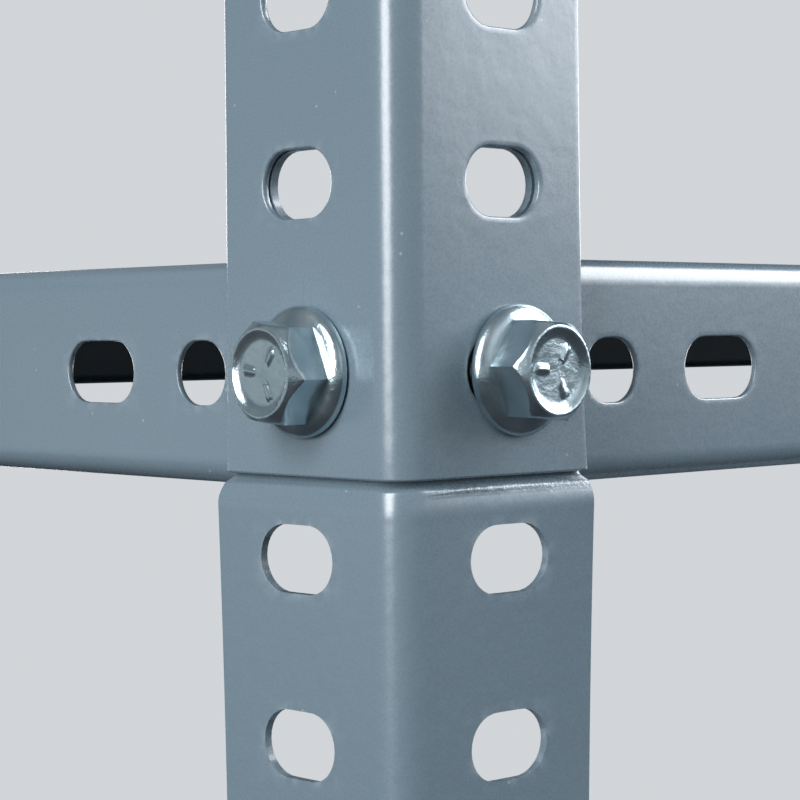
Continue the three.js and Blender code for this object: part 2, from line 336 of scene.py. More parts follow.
class Profile:
    """A path of straight runs joined by arcs, measured along its length."""

    def __init__(self, points, radii, steps):
        self.nodes = [Vector(points[0])]
        for before, here, after, radius in zip(points, points[1:], points[2:], radii):
            self._corner(Vector(before), Vector(here), Vector(after), radius, steps)
        self.nodes.append(Vector(points[-1]))
        self.marks = [0.0]
        for a, b in zip(self.nodes, self.nodes[1:]):
            self.marks.append(self.marks[-1] + (b - a).length)

    def _corner(self, before, here, after, radius, steps):
        back = (before - here).normalized()
        on = (after - here).normalized()
        centre = here + (back + on) * radius
        for i in range(steps + 1):
            angle = i / steps * math.pi / 2
            out = on * math.cos(angle) + back * math.sin(angle)
            self.nodes.append(centre - out * radius)

    def at(self, length):
        for i, (low, high) in enumerate(zip(self.marks, self.marks[1:])):
            if length <= high or i == len(self.marks) - 2:
                share = (length - low) / (high - low)
                return self.nodes[i].lerp(self.nodes[i + 1], share)

    def mark_of(self, axis, value, low, high):
        """The length at which the straight run between two marks has the given coordinate."""
        a, b = self.at(low), self.at(high)
        return low + (high - low) * (value - a[axis]) / (b[axis] - a[axis])


def merge_sorted(values, gap=0.02 * MM):
    kept = []
    for value in sorted(values):
        if not kept or value - kept[-1] > gap:
            kept.append(value)
    return kept


def flat_sheet(name, across, up, slots, keep=lambda a, b: True):
    """A flat grid with round-ended slots, long along the first axis.

    Each slot is (middle a, middle b, half length, half height, patch a0, a1, b0, b1), and the
    edges of its patch are lines of the grid."""
    bm = bmesh.new()
    rim = bm.verts.layers.float.new("paint_edge")
    corners = {}

    def vertex(a, b):
        key = (round(a * 1e7), round(b * 1e7))
        if key not in corners:
            corners[key] = bm.verts.new((a, b, 0))
        return corners[key]

    def inside(a, b):
        return any(p[4] < a < p[5] and p[6] < b < p[7] for p in slots)

    for a0, a1 in zip(across, across[1:]):
        for b0, b1 in zip(up, up[1:]):
            middle = ((a0 + a1) / 2, (b0 + b1) / 2)
            if inside(*middle) or not keep(*middle):
                continue
            bm.faces.new([vertex(a0, b0), vertex(a1, b0), vertex(a1, b1), vertex(a0, b1)])

    for a, b, half, end, a0, a1, b0, b1 in slots:
        columns = [x for x in across if a0 - 1e-9 <= x <= a1 + 1e-9]
        rows = [y for y in up if b0 - 1e-9 <= y <= b1 + 1e-9]
        border = [(x, rows[0]) for x in columns[:-1]] + [(columns[-1], y) for y in rows[:-1]]
        border += [(x, rows[-1]) for x in columns[:0:-1]] + [(columns[0], y) for y in rows[:0:-1]]
        straight = half - end
        rings = [[vertex(x, y) for x, y in border]]
        # the paint_edge share marks the slot rims, where the coat paints a highlight
        for radius, edge in ((end + SLOT_BORDER, 0.3), (end, 1.0)):
            ring = []
            for x, y in border:
                middle = Vector((max(a - straight, min(a + straight, x)), b))
                out = (Vector((x, y)) - middle).normalized() * radius
                corner = bm.verts.new((middle.x + out.x, middle.y + out.y, 0))
                corner[rim] = edge
                ring.append(corner)
            rings.append(ring)
        for outer, inner in zip(rings, rings[1:]):
            for i in range(len(border)):
                j = (i + 1) % len(border)
                bm.faces.new([outer[i], outer[j], inner[j], inner[i]])
    mesh = bpy.data.meshes.new(name)
    bm.to_mesh(mesh)
    bm.free()
    return mesh


def slot_in(along, up, half):
    """A slot with the patch of grid that it takes up."""
    reach = half + SLOT_SIDE
    return along, up, half, SLOT_END, along - reach, along + reach, up - SLOT_RISE, up + SLOT_RISE


def stiffen(piece, sheet, edge):
    """Gives a bent surface its sheet thickness, inwards, and softens the cut edges."""
    solidify = piece.modifiers.new("sheet", "SOLIDIFY")
    solidify.thickness = sheet
    solidify.offset = -1
    solidify.use_even_offset = True
    soften = piece.modifiers.new("paint_build", "BEVEL")
    soften.width = edge
    soften.segments = 2
    soften.limit_method = "ANGLE"
    soften.angle_limit = math.radians(50)
    even_shading(piece)


def even_shading(piece):
    """Keeps the flats flat where rounded edges meet them."""
    weigh = piece.modifiers.new("flats", "WEIGHTED_NORMAL")
    weigh.weight = 80


def smooth(mesh):
    for polygon in mesh.polygons:
        polygon.use_smooth = True


# ---------------------------------------------------------------- geometry nodes

def tree_with(name, inputs):
    """A node tree with geometry in and out and the given named inputs."""
    tree = bpy.data.node_groups.new(name, "GeometryNodeTree")
    tree.interface.new_socket("Geometry", in_out="INPUT", socket_type="NodeSocketGeometry")
    for label, kind, value in inputs:
        socket = tree.interface.new_socket(label, in_out="INPUT", socket_type=kind)
        if value is not None:
            socket.default_value = value
    tree.interface.new_socket("Geometry", in_out="OUTPUT", socket_type="NodeSocketGeometry")
    source = tree.nodes.new("NodeGroupInput")
    sink = tree.nodes.new("NodeGroupOutput")
    return tree, source, sink


def set_inputs(modifier, values):
    """Sets a modifier's inputs by the identifier of each socket."""
    for item in modifier.node_group.interface.items_tree:
        if item.item_type == "SOCKET" and item.in_out == "INPUT" and item.name in values:
            modifier[item.identifier] = values[item.name]


def slot_row_tree():
    """Repeats one cell of a post's flat sheet along its height and joins the copies."""
    tree, source, sink = tree_with("slot_row", (
        ("Cells", "NodeSocketInt", 10),
        ("Pitch", "NodeSocketFloat", PITCH),
        ("Finish", "NodeSocketMaterial", None),
    ))
    nodes, links = tree.nodes, tree.links
    line = nodes.new("GeometryNodeMeshLine")
    line.mode = "OFFSET"
    links.new(source.outputs["Cells"], line.inputs["Count"])
    offset = nodes.new("ShaderNodeCombineXYZ")
    links.new(source.outputs["Pitch"], offset.inputs["Y"])
    links.new(offset.outputs["Vector"], line.inputs["Offset"])
    copies = nodes.new("GeometryNodeInstanceOnPoints")
    links.new(line.outputs["Mesh"], copies.inputs["Points"])
    links.new(source.outputs["Geometry"], copies.inputs["Instance"])
    real = nodes.new("GeometryNodeRealizeInstances")
    links.new(copies.outputs["Instances"], real.inputs["Geometry"])
    merge = nodes.new("GeometryNodeMergeByDistance")
    merge.inputs["Distance"].default_value = 0.01 * MM
    links.new(real.outputs["Geometry"], merge.inputs["Geometry"])
    finish = nodes.new("GeometryNodeSetMaterial")
    links.new(source.outputs["Finish"], finish.inputs["Material"])
    links.new(merge.outputs["Geometry"], finish.inputs["Geometry"])
    links.new(finish.outputs["Geometry"], sink.inputs["Geometry"])
    return tree


def fastener_tree():
    """Puts one fastener at each point, turned by the point's own angles."""
    tree, source, sink = tree_with("fastener_set", (
        ("Fastener", "NodeSocketObject", None),
        ("Size", "NodeSocketFloat", 1.0),
        ("Finish", "NodeSocketMaterial", None),
    ))
    nodes, links = tree.nodes, tree.links
    info = nodes.new("GeometryNodeObjectInfo")
    links.new(source.outputs["Fastener"], info.inputs["Object"])
    turn = nodes.new("GeometryNodeInputNamedAttribute")
    turn.data_type = "FLOAT_VECTOR"
    turn.inputs["Name"].default_value = "turn"
    copies = nodes.new("GeometryNodeInstanceOnPoints")
    links.new(source.outputs["Geometry"], copies.inputs["Points"])
    links.new(info.outputs["Geometry"], copies.inputs["Instance"])
    links.new(turn.outputs["Attribute"], copies.inputs["Rotation"])
    links.new(source.outputs["Size"], copies.inputs["Scale"])
    real = nodes.new("GeometryNodeRealizeInstances")
    links.new(copies.outputs["Instances"], real.inputs["Geometry"])
    finish = nodes.new("GeometryNodeSetMaterial")
    links.new(source.outputs["Finish"], finish.inputs["Material"])
    links.new(real.outputs["Geometry"], finish.inputs["Geometry"])
    links.new(finish.outputs["Geometry"], sink.inputs["Geometry"])
    return tree


def grown(piece, tree, values):
    """The mesh that a node tree makes of a piece."""
    modifier = piece.modifiers.new("grow", "NODES")
    modifier.node_group = tree
    set_inputs(modifier, values)
    mesh = plain_mesh(piece)
    piece.modifiers.remove(modifier)
    return mesh


# ---------------------------------------------------------------- posts

POST_PROFILE = Profile(((0, FLANGE), (0, 0), (FLANGE, 0)), (POST_BEND,), 9)
POST_LENGTH = POST_PROFILE.marks[-1]
FREE_EDGE = 1 * MM
BETWEEN_SLOTS = 9.2 * MM
JOGGLE_ROWS = (6.6, 7.3, 8.0, 8.7, 9.2, 9.6, 9.9, 10.2, 10.5, 10.9, 11.3)
JOGGLE_TOP = SEAM - LIP_DROP - SEAM_GAP


def post_cell(is_upper):
    """One pitch of the flat angle, with a slot in each flange, and fine rows for a joggle."""
    slots = []
    lines = list(POST_PROFILE.marks)
    for middle in (FLANGE - BOLT_LINE, POST_LENGTH - (FLANGE - BOLT_LINE)):
        slots.append(slot_in(middle, 0, SLOT_HALF))
        lines += spread(middle - SLOT_HALF - SLOT_SIDE, middle + SLOT_HALF + SLOT_SIDE, 12)
    lines += [FREE_EDGE, POST_LENGTH - FREE_EDGE]
    rise = spread(-SLOT_RISE, SLOT_RISE, 8)
    rise += [-PITCH / 2, -BETWEEN_SLOTS, BETWEEN_SLOTS, PITCH / 2]
    if not is_upper:
        rise += [row * MM for row in JOGGLE_ROWS]
    return flat_sheet("post_cell", merge_sorted(lines), merge_sorted(rise), slots)


# How far the flanges' free edges stand out at the splice, and how fast that fades along the post
UPPER_SPLAY = {"front": 1.3 * MM, "side": 0.35 * MM}
LOWER_SPLAY = {"front": 2.6 * MM, "side": 2.1 * MM}
UPPER_FADE = 20 * MM
LOWER_FADE = 55 * MM

# The bead of paint under the seam
BEAD_RUN_IN = 4 * MM
BEAD_WIDTH = 0.4 * MM
BEAD_LUMP = 1.1 * MM
BEAD_HEIGHT = 0.16 * MM

BEND_GIVE = 8 * MM
TONGUE_TRIM = 0.4 * MM


def clamped(x):
    return max(0.0, min(1.0, x))


def ease(x):
    x = clamped(x)
    return x * x * (3 - 2 * x)


def splay(z, flange):
    """How far a flange's free edge stands out at a height."""
    if z >= SEAM:
        return UPPER_SPLAY[flange] * math.exp(-(z - SEAM) / UPPER_FADE)
    grip = ease((SEAM - z) / SOFT_JOGGLE)
    reach = UPPER_SPLAY[flange] + (LOWER_SPLAY[flange] - UPPER_SPLAY[flange]) * grip
    return reach * math.exp(-(SEAM - z) / LOWER_FADE)


def paint_bead(x, y, z):
    """Share of the lumpy bead of paint that lies along the front of the joggle, under the seam."""
    along = ease((x - POST_BEND) / BEAD_RUN_IN)
    on_front = 1.0 if y < POST_BEND else 0.0
    off = (JOGGLE_TOP - z - STEEP_JOGGLE) / BEAD_WIDTH
    return along * on_front * math.exp(-off ** 2)


def joggle(z):
    """How far the lower post has stepped in at a height: steeply at the seam, softly below it."""
    steep = ease(1 - (JOGGLE_TOP - z) / STEEP_JOGGLE)
    soft = ease(1 - (JOGGLE_TOP - z) / SOFT_JOGGLE)
    return STEP * (STEEP_SHARE * steep + (1 - STEEP_SHARE) * soft), steep


def bent_post(name, cells, first_cell, is_upper):
    """Bends a flat strip of cells to the angle, with the joggle and the splay at the splice."""
    cell = object_from(name + "_cell", post_cell(is_upper), COAT)
    mesh = grown(cell, SLOT_ROW, {"Cells": cells, "Pitch": PITCH, "Finish": COAT})
    bpy.data.objects.remove(cell)
    base = POST_BASE + (first_cell + 0.5) * PITCH
    low_end = base - PITCH / 2
    bead = mesh.attributes.new("paint_bead", "FLOAT", "POINT")
    for vertex in mesh.vertices:
        z = base + vertex.co.y
        if is_upper and z < low_end + SHORT:
            z = SEAM - LIP_DROP
        x, y = POST_PROFILE.at(vertex.co.x)
        y_out = splay(z, "front") * (max(0.0, x) / FLANGE) ** 2
        x_out = splay(z, "side") * (max(0.0, y) / FLANGE) ** 2
        if not is_upper:
            inwards, steep = joggle(z)
            near_x = clamped(1 - (x - POST_BEND) / BEND_GIVE)
            near_y = clamped(1 - (y - POST_BEND) / BEND_GIVE)
            x, y = x + inwards * near_x, y + inwards * near_y
            trim = steep * TONGUE_TRIM
            x -= trim if x > FLANGE - FREE_EDGE / 2 else 0
            y -= trim if y > FLANGE - FREE_EDGE / 2 else 0
            share = paint_bead(x, y, z)
            bead.data[vertex.index].value = share
            lump = 0.5 + noise_at(Vector((x, y, z)) / BEAD_LUMP)
            y_out += share * lump * BEAD_HEIGHT
        vertex.co = (x - x_out, y - y_out, z)
    smooth(mesh)
    return mesh


SLOT_ROW = slot_row_tree()


def make_posts():
    """Each kind of post is bent once and set at the four corners."""
    all_cells = round((POST_TOP - POST_BASE) / PITCH)
    lower_cells = round((TONGUE_TOP - POST_BASE) / PITCH)
    first_upper = round((SPLICE_Z - POST_BASE) / PITCH - 0.5)
    kinds = (("lower_post", lower_cells, 0, False),
             ("upper_post", all_cells - first_upper, first_upper, True))
    for kind, cells, first, is_upper in kinds:
        pattern = bent_post(kind, cells, first, is_upper)
        for name, side in zip(POST_NAMES, SIDE_NAMES):
            mesh = pattern.copy()
            mesh.transform(side_matrix(side))
            piece = object_from("painted_%s_%s" % (kind, name), mesh, COAT)
            stiffen(piece, POST_SHEET, POST_EDGE)
            finish_piece(piece, "frame", ["%s_%s" % (kind, name)])


# ---------------------------------------------------------------- beams

PLAIN_WEB = 90 * MM
RISER_BENDS = (1.6 * MM, 0.8 * MM)
BEND_STEPS = 5


def beam_profile():
    """Outer surface of the beam, from its bottom flange to its ledge: u inwards, v up."""
    half = BEAM_HEIGHT / 2
    ledge = half - LEDGE_DROP
    points = (
        (BEAM_BOTTOM, -half), (0, -half), (0, half),
        (BEAM_TOP, half), (BEAM_TOP, ledge), (BEAM_DEPTH, ledge))
    return Profile(points, (BEAM_BEND, BEAM_BEND, *RISER_BENDS), BEND_STEPS)


def beam_mesh(span):
    """A beam of the given span: its middle height is 0, and its web stands on the plane v = 0."""
    profile = beam_profile()
    web = profile.marks[BEND_STEPS + 1:BEND_STEPS + 3]
    middle = profile.mark_of(1, 0, *web)
    slots = []
    lines = [BEAM_END, BEAM_COPE, span - BEAM_COPE, span - BEAM_END]
    for centre, slot_half in BEAM_SLOTS:
        reach = slot_half + SLOT_SIDE
        for x in (centre, span - centre):
            slots.append(slot_in(x, middle, slot_half))
            lines += spread(x - reach, x + reach, 12)
    lines += spread(PLAIN_WEB, span - PLAIN_WEB, 12)
    up = list(profile.marks) + spread(middle - SLOT_RISE, middle + SLOT_RISE, 8)
    up += [middle - BEAM_TAB, middle + BEAM_TAB]

    def keep(a, b):
        return BEAM_COPE < a < span - BEAM_COPE or abs(b - middle) < BEAM_TAB

    mesh = flat_sheet("beam_sheet", merge_sorted(lines), merge_sorted(up), slots, keep)
    for vertex in mesh.vertices:
        section = profile.at(vertex.co.y)
        vertex.co = (vertex.co.x, section.x, section.y)
    smooth(mesh)
    return mesh


def make_beams():
    """Long and short beams, each set where its CAD node stands."""
    patterns = {WIDTH: beam_mesh(WIDTH), DEPTH: beam_mesh(DEPTH)}
    for side in SIDE_NAMES:
        span = WIDTH if side in ("front", "back") else DEPTH
        to_unit = side_matrix(side)
        for level in range(1, LEVELS + 1):
            node = "beam_%s_%d" % (side, level)
            low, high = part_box(node)
            centre = to_unit.inverted() @ ((low + high) / 2)
            inset = centre.y - BEAM_DEPTH / 2
            mesh = patterns[span].copy()
            mesh.transform(to_unit @ Matrix.Translation((0, inset, centre.z)))
            piece = object_from("painted_" + node, mesh, COAT)
            stiffen(piece, BEAM_SHEET, BEAM_EDGE)
            finish_piece(piece, "frame", [node])


# ---------------------------------------------------------------- decks

def make_decks():
    """The decks: pans with their rims turned down, notched round the posts."""
    for level in range(1, LEVELS + 1):
        node = "deck_%d" % level
        low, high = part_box(node)
        x, y = high.x, high.y
        inner_x, inner_y = x - DECK_NOTCH, y - DECK_NOTCH
        quarter = ((x, inner_y), (inner_x, inner_y), (inner_x, y))
        outline = list(quarter) + [(-a, b) for a, b in reversed(quarter)]
        outline += [(-a, -b) for a, b in quarter] + [(a, -b) for a, b in reversed(quarter)]
        bm = bmesh.new()
        top = [bm.verts.new((a, b, high.z)) for a, b in outline]
        foot = [bm.verts.new((a, b, low.z)) for a, b in outline]
        bm.faces.new(top)
        for i in range(len(outline)):
            j = (i + 1) % len(outline)
            bm.faces.new([foot[i], foot[j], top[j], top[i]])
        bm.normal_update()
        rim = [e for e in bm.edges if e.verts[0].co.z == e.verts[1].co.z == top[0].co.z]
        upright = [e for e in bm.edges if e.verts[0].co.z != e.verts[1].co.z]
        bends = rim + upright
        bmesh.ops.bevel(bm, geom=bends, offset=DECK_BEND, segments=4, profile=0.5, affect="EDGES")
        mesh = bpy.data.meshes.new(node + "_pan")
        bm.to_mesh(mesh)
        bm.free()
        smooth(mesh)
        piece = object_from("painted_" + node, mesh, FLAT_COAT)
        stiffen(piece, DECK_SHEET, DECK_EDGE)
        finish_piece(piece, node, [node])


def make_ribs():
    """The hat-section rib under the middle of each deck."""
    for level in range(1, LEVELS + 1):
        node = "deck_rib_%d" % level
        low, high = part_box(node)
        lip, crown = high.y, RIB_CROWN
        top, bottom = high.z - DECK_SHEET, low.z
        points = (
            (-lip, top), (-crown, top), (-crown, bottom),
            (crown, bottom), (crown, top), (lip, top))
        profile = Profile(points, RIB_BENDS, 4)
        lines = spread(low.x, high.x, 40)
        mesh = flat_sheet(node + "_hat", lines, merge_sorted(profile.marks), ())
        for vertex in mesh.vertices:
            section = profile.at(vertex.co.y)
            vertex.co = (vertex.co.x, section.x, section.y)
        mesh.flip_normals()
        smooth(mesh)
        piece = object_from("painted_" + node, mesh, FLAT_COAT)
        stiffen(piece, DECK_SHEET, RIB_EDGE)
        finish_piece(piece, "deck_%d" % level, [node])


# ---------------------------------------------------------------- fasteners

AROUND = 72
LEVEL_AROUND = 36
HEX_APOTHEM = 6.5 * MM
HEX_CORNER = 7.7 * MM
SHANK_R = 3.9 * MM
SHANK_END = -16 * MM
SHANK_CHAMFER = 0.8 * MM
THREAD_TOP = -1.5 * MM
THREAD_END = -15 * MM
THREAD_PITCH = 1.25 * MM
THREAD_ROOT = SHANK_R - 0.55 * MM

# The head: a dish with three bars, a rounded rim, a chamfer, the flats and the flange's skirt
HEAD_HEIGHT = 8 * MM
DISH = 7.3 * MM
DISH_R = 4.3 * MM
BAR_INNER = 1.6 * MM
BAR_OUTER = 3.8 * MM
BAR_HALF = 0.4 * MM
BAR_HEIGHT = 0.22 * MM
RIM = ((7.36, 4.75), (7.6, 5.2), (7.9, 5.5), (8.0, 5.8), (7.93, 6.1))
CHAMFER = ((7.65, 6.35), (6.15, 7.65))
FLATS = (5.0, 2.5)
FILLET = (2.25, 7.75)
SKIRT = (
    (2.1, 7.85), (1.75, 8.35), (1.35, 8.78), (1.0, 8.93), (0.6, 8.95),
    (0.2, 8.9), (0.03, 8.7), (0, 8.4), (0, 4.4))

NUT_BORE = 4 * MM
NUT_FACE = 5.9 * MM
NUT_CHAMFER = ((0.1, 6.3), (1.0, 7.7))
NUT_LEAD = 0.5 * MM


def hex_reach(angle):
    """Distance from the middle of the hexagon to its side, with a corner on the X axis."""
    return HEX_APOTHEM / math.cos((angle % (math.pi / 3)) - math.pi / 6)


def ring_stack(name, rings, around):
    """A closed turned shape from (height, radius, is_hex) rings; a zero radius closes an end."""
    bm = bmesh.new()
    rows = []
    for height, radius, is_hex in rings:
        if radius == 0:
            rows.append([bm.verts.new((0, 0, height))])
            continue
        row = []
        for i in range(around):
            angle = 2 * math.pi * i / around
            reach = min(radius, hex_reach(angle)) if is_hex else radius
            row.append(bm.verts.new((reach * math.cos(angle), reach * math.sin(angle), height)))
        rows.append(row)
    closed = rows if rings[0][1] == 0 else rows + [rows[0]]
    for below, above in zip(closed, closed[1:]):
        for i in range(around):
            j = (i + 1) % around
            lower = [below[i % len(below)], below[j % len(below)]]
            upper = [above[j % len(above)], above[i % len(above)]]
            corners = list(dict.fromkeys(lower + upper))
            if len(corners) > 2:
                bm.faces.new(corners)
    bmesh.ops.recalc_face_normals(bm, faces=bm.faces)
    mesh = bpy.data.meshes.new(name)
    bm.to_mesh(mesh)
    bm.free()
    smooth(mesh)
    return mesh


def between(ends, count):
    """Evenly spaced (height, radius) pairs from one end to the other, in millimetres."""
    (high, narrow), (low, wide) = ends
    steps = [i / count for i in range(count + 1)]
    return [(high + (low - high) * t, narrow + (wide - narrow) * t) for t in steps]


def sized(pairs, is_hex):
    return [(height * MM, radius * MM, is_hex) for height, radius in pairs]


def thread_rings():
    """Crests and roots of a coarse thread, from the top down."""
    rings = []
    for i in range(int((THREAD_TOP - THREAD_END) / THREAD_PITCH)):
        z = THREAD_TOP - i * THREAD_PITCH
        rings.append((z, SHANK_R, False))
        rings.append((z - 0.35 * THREAD_PITCH, THREAD_ROOT, False))
        rings.append((z - 0.5 * THREAD_PITCH, THREAD_ROOT, False))
    return rings


def grade_bar(point):
    """Height of three plain raised bars on the dished face of the head."""
    radius = math.hypot(point.x, point.y)
    if point.z < DISH - SHORT or not BAR_INNER < radius < BAR_OUTER:
        return 0.0
    angle = math.atan2(point.y, point.x) % (2 * math.pi / 3) - math.pi / 3
    across = abs(radius * math.sin(angle))
    return BAR_HEIGHT * ease(1.6 - across / BAR_HALF)


def bolt_mesh(around):
    """A hex flange bolt: the flange stands on z = 0 and the head is above it."""
    inner = (BAR_INNER - SHORT, BAR_INNER + SHORT)
    outer = (BAR_OUTER - SHORT, BAR_OUTER + SHORT)
    dish = (0, 1.2 * MM, *inner, 2.4 * MM, 3.1 * MM, *outer, DISH_R)
    rings = [(DISH, radius, False) for radius in dish]
    rings += sized(RIM, False)
    rings += sized(between(CHAMFER, 10), True)
    rings += [(height * MM, HEX_CORNER, True) for height in FLATS]
    rings += sized((FILLET,), True)
    rings += sized(SKIRT, False)
    rings += [(-0.3 * MM, SHANK_R, False)]
    rings += thread_rings()
    rings += [(SHANK_END + SHANK_CHAMFER, SHANK_R - SHORT, False)]
    rings += [(SHANK_END, SHANK_R - SHANK_CHAMFER, False), (SHANK_END, 0, False)]
    mesh = ring_stack("bolt", rings, around)
    for vertex in mesh.vertices:
        vertex.co.z += grade_bar(vertex.co)
    mesh.set_sharp_from_angle(angle=math.radians(32))
    return mesh


def nut_mesh(around):
    """A plain hex nut from z = 0 down, bored over the shank."""
    chamfer = [(height * MM, radius * MM) for height, radius in between(NUT_CHAMFER, 3)]
    lead = NUT_BORE + NUT_LEAD
    rings = [(-NUT_LEAD, NUT_BORE, False), (0, lead, False), (0, NUT_FACE, False)]
    rings += [(-depth, radius, True) for depth, radius in chamfer]
    rings += [(-NUT_HEIGHT / 2, HEX_CORNER, True)]
    rings += [(depth - NUT_HEIGHT, radius, True) for depth, radius in reversed(chamfer)]
    rings += [(-NUT_HEIGHT, NUT_FACE, False), (-NUT_HEIGHT, lead, False)]
    rings += [(NUT_LEAD - NUT_HEIGHT, NUT_BORE, False)]
    return ring_stack("nut", rings, around)


def fastener_places():
    """Every bolt as (side, level, end, distance along the side)."""
    for side in SIDE_NAMES:
        span = WIDTH if side in ("front", "back") else DEPTH
        inwards = FRONT_BOLT if span == WIDTH else SIDE_BOLT
        for level in range(1, LEVELS + 1):
            for end, along in (("a", inwards), ("b", span - inwards)):
                yield side, level, end, along


# The turn at which the two bolts of the near corner were left
HEX_TURNS = {"front_a": math.radians(-5), "left_b": math.radians(-6.4)}


def make_fasteners():
    """The splice's bolts and nuts as pieces of their own, and the other levels' as two sets."""
    near = {"bolt": bolt_mesh(AROUND), "nut": nut_mesh(AROUND)}
    far = {"bolt": bolt_mesh(LEVEL_AROUND), "nut": nut_mesh(LEVEL_AROUND)}
    draw = random.Random(11)
    loose = {"bolt": [], "nut": []}
    bolt_depth = HEAD_HEIGHT - BOLT_REACH
    for side, level, end, along in fastener_places():
        beam_low, beam_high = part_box("beam_%s_%d" % (side, level))
        to_unit = side_matrix(side)
        beam_middle = to_unit.inverted() @ ((beam_low + beam_high) / 2)
        nut_depth = beam_middle.y - BEAM_DEPTH / 2 + BEAM_SHEET + FIT
        height = SPLICE_Z + beam_middle.z - (BEAM_LOW.z + BEAM_HIGH.z) / 2
        spin = HEX_TURNS.get(side + "_" + end) if level == SPLICE_LEVEL else None
        spin = draw.uniform(0, math.pi / 3) if spin is None else spin
        nut_spin = draw.uniform(0, math.pi / 3)
        for kind, depth, turn in (("bolt", bolt_depth, spin), ("nut", nut_depth, nut_spin)):
            stand = Matrix.Rotation(math.pi / 2, 4, "X") @ Matrix.Rotation(turn, 4, "Z")
            place = to_unit @ Matrix.Translation((along, depth, height)) @ stand
            if level == SPLICE_LEVEL:
                node = "%s_%s_%s" % (kind, side, end)
                mesh = near[kind].copy()
                mesh.transform(place)
                piece = object_from("plated_" + node, mesh, ZINC)
                body = node if kind == "bolt" else "frame"
                finish_piece(piece, body, [node])
            else:
                loose[kind].append(place)
    tree = fastener_tree()
    for kind in loose:
        pattern = object_from(kind + "_pattern", far[kind], ZINC)
        points = bpy.data.meshes.new(kind + "_points")
        points.from_pydata([m.to_translation() for m in loose[kind]], [], [])
        turns = points.attributes.new("turn", "FLOAT_VECTOR", "POINT")
        for item, place in zip(turns.data, loose[kind]):
            item.vector = place.to_euler("XYZ")
        holder = object_from("level_%ss" % kind, points, ZINC)
        mesh = grown(holder, tree, {"Fastener": pattern, "Size": 1.0, "Finish": ZINC})
        bpy.data.objects.remove(holder)
        bpy.data.objects.remove(pattern)
        piece = object_from("plated_level_%ss" % kind, mesh, ZINC)
        smooth(mesh)
        finish_piece(piece, "frame", [])


# ---------------------------------------------------------------- feet

def make_feet():
    """Angle-shaped shoes, hollow from above, over the ends of the lower posts."""
    inner = POST_SHEET + FOOT_WALL
    tip = FLANGE + FOOT_WALL
    back = -FOOT_WALL
    for name, side in zip(POST_NAMES, SIDE_NAMES):
        node = "foot_" + name
        low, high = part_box(node)
        outline = (
            (tip, back), (tip, inner), (inner, inner),
            (inner, tip), (back, tip), (back, back))
        bm = bmesh.new()
        floor = [bm.verts.new((x, y, low.z)) for x, y in outline]
        face = bm.faces.new(floor)
        bmesh.ops.recalc_face_normals(bm, faces=[face])
        top = bmesh.ops.extrude_face_region(bm, geom=[face])
        rise = [v for v in top["geom"] if isinstance(v, bmesh.types.BMVert)]
        bmesh.ops.translate(bm, verts=rise, vec=(0, 0, high.z - low.z))
        roof = next(f for f in bm.faces if all(v in rise for v in f.verts))
        bmesh.ops.inset_region(bm, faces=[roof], thickness=FOOT_LIP)
        sink = low.z + FOOT_SOLE - high.z
        bmesh.ops.translate(bm, verts=list(roof.verts), vec=(0, 0, sink))
        bmesh.ops.recalc_face_normals(bm, faces=bm.faces)
        mesh = bpy.data.meshes.new(node + "_shoe")
        bm.to_mesh(mesh)
        bm.free()
        mesh.transform(side_matrix(side))
        smooth(mesh)
        piece = object_from("moulded_" + node, mesh, PLASTIC)
        soften = piece.modifiers.new("mould_radius", "BEVEL")
        soften.width = 0.6 * MM
        soften.segments = 3
        soften.limit_method = "ANGLE"
        soften.angle_limit = math.radians(40)
        even_shading(piece)
        finish_piece(piece, "frame", [node])


# ---------------------------------------------------------------- studio

BACKDROP = (0.640, 0.665, 0.690)
FLOOR_RADIUS = 2.6
KEY_WAY = (0.68, -0.73, 0.0)

# Softboxes. The first two stand round the near splice: azimuth, elevation, distance
KEY_PLACE = (-28, 26, 2.4)
SIDE_PLACE = (192, 23, 2.0)
RIGHT_PLACE = Vector((3.2, 0.5, 0.9))
BACK_PLACE = Vector((0.4, 3.2, 0.9))
KEY_TINT = (0.94, 0.98, 1.04)
SIDE_TINT = (0.97, 0.99, 1.02)
WHITE = (1, 1, 1)

# The camera, from the near splice
CAMERA_PLACE = Vector((-193.9, -208.0, 5.36)) * MM
CAMERA_YAW = math.radians(46.95)
CAMERA_PITCH = math.radians(1.775)
CAMERA_ROLL = math.radians(-0.478)
CAMERA_LENS = 99.3


def make_floor():
    """A pale round floor that fades into the backdrop."""
    mesh = bpy.data.meshes.new("studio_floor")
    bm = bmesh.new()
    bmesh.ops.create_circle(bm, cap_ends=True, radius=FLOOR_RADIUS, segments=96)
    bmesh.ops.translate(bm, verts=bm.verts, vec=(0, 0, -0.2 * MM))
    bm.to_mesh(mesh)
    bm.free()
    material, nodes, links, shader = new_material("pale_floor")
    shader.inputs["Base Color"].default_value = (0.46, 0.475, 0.49, 1)
    shader.inputs["Roughness"].default_value = 0.8
    coords = object_coords(nodes)
    distance = nodes.new("ShaderNodeVectorMath")
    distance.operation = "LENGTH"
    links.new(coords, distance.inputs[0])
    fade = mapped(nodes, links, distance.outputs["Value"], 1.1, 2.5, 0.0, 1.0)
    clear = nodes.new("ShaderNodeBsdfTransparent")
    blend = nodes.new("ShaderNodeMixShader")
    links.new(fade, blend.inputs["Fac"])
    links.new(shader.outputs["BSDF"], blend.inputs[1])
    links.new(clear.outputs["BSDF"], blend.inputs[2])
    links.new(blend.outputs["Shader"], nodes["Material Output"].inputs["Surface"])
    floor = object_from("studio_floor", mesh, material)
    floor.visible_diffuse = False
    floor.visible_glossy = False


